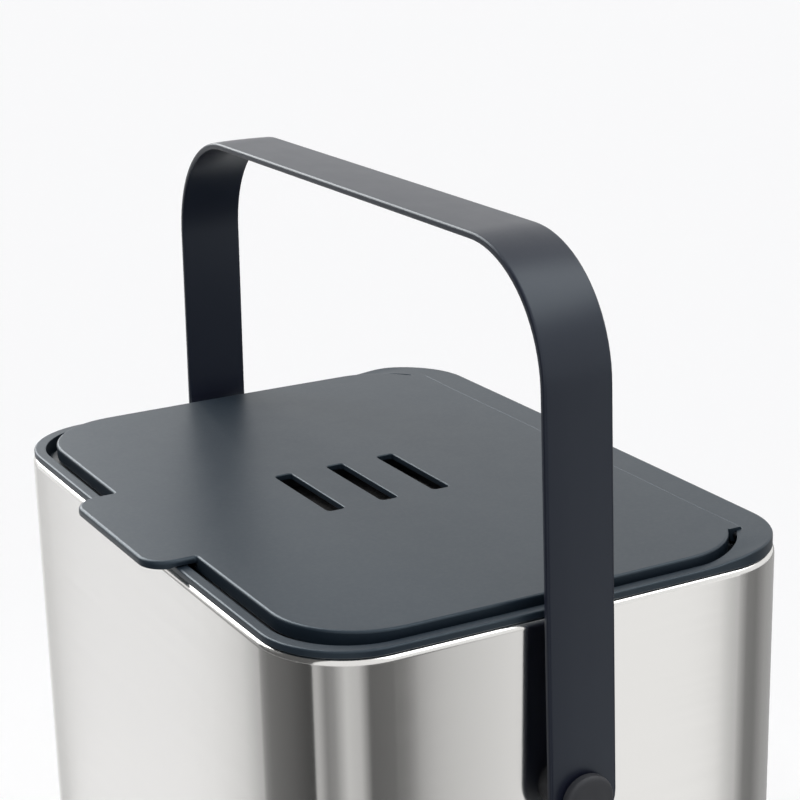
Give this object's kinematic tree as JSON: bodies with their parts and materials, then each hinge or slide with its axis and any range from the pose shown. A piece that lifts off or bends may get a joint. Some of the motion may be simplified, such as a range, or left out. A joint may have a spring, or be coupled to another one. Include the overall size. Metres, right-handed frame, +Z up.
{
  "type": "compost caddy with hinged lid",
  "caption": "Countertop compost caddy: steel sleeve, vented hinged lid with a filter below it, lift-out bucket and a flat carrying strap that swings on side pivots.",
  "frame": {"origin": "on the worktop, under the middle of the whole footprint, lift tab included", "axes": "+Z up; -Y is the front, where the lift tab is; +Y is the back, where the lid is hinged; +X is the caddy's right seen from the front"},
  "size_m": [0.2734, 0.1886, 0.297],
  "materials": {
    "brushed_steel_sheet": "fine grain running round the body, soft mirror",
    "slate_plastic": "satin moulded slate grey",
    "strap_plastic": "satin moulded, rounded edges",
    "dark_plastic": "matte moulded",
    "bucket_plastic": "smooth moulded, easy to wipe",
    "charcoal_foam": "open-cell carbon foam",
    "foot_rubber": "matte rubber",
    "plated_steel": "bright plated"
  },
  "bodies": {
    "caddy": {"outer_shell": "brushed_steel_sheet", "base_pan": "dark_plastic", "foot_front_left": "foot_rubber", "foot_front_right": "foot_rubber", "foot_rear_left": "foot_rubber", "foot_rear_right": "foot_rubber", "base_screws": "plated_steel", "rim_frame": "slate_plastic", "inner_bucket": "bucket_plastic", "hinge_pin_left": "plated_steel", "hinge_pin_right": "plated_steel", "pivot_spacer_left": "dark_plastic", "pivot_spacer_right": "dark_plastic", "pivot_screw_left": "plated_steel", "pivot_screw_right": "plated_steel", "pivot_cap_left": "dark_plastic", "pivot_cap_right": "dark_plastic", "pivot_nut_left": "plated_steel", "pivot_nut_right": "plated_steel"},
    "lid_assembly": {"lid": "slate_plastic", "filter_housing": "dark_plastic", "housing_screws": "plated_steel", "filter_pad": "charcoal_foam", "filter_cover_pin": "plated_steel"},
    "vent_cover": {"filter_cover": "dark_plastic"},
    "strap": {"handle_strap": "strap_plastic"}
  },
  "joints": [
    {"name": "lid_hinge", "type": "hinge", "parent": "caddy", "child": "lid_assembly", "pos_m": [0, 0.07825, 0.1896], "axis": [-1, 0, 0], "range_deg": [0, 100]},
    {"name": "handle_swing", "type": "hinge", "parent": "caddy", "child": "strap", "pos_m": [0, 0.00175, 0.13], "axis": [-1, 0, 0], "range_deg": [0, 125]},
    {"name": "filter_cover_hinge", "type": "hinge", "parent": "lid_assembly", "child": "vent_cover", "pos_m": [0, 0.03145, 0.1776], "axis": [1, 0, 0], "range_deg": [0, 75]}
  ],
  "couplings": [
    {"joint": "handle_swing", "follows": "lid_hinge", "ratio": 1.25}
  ]
}
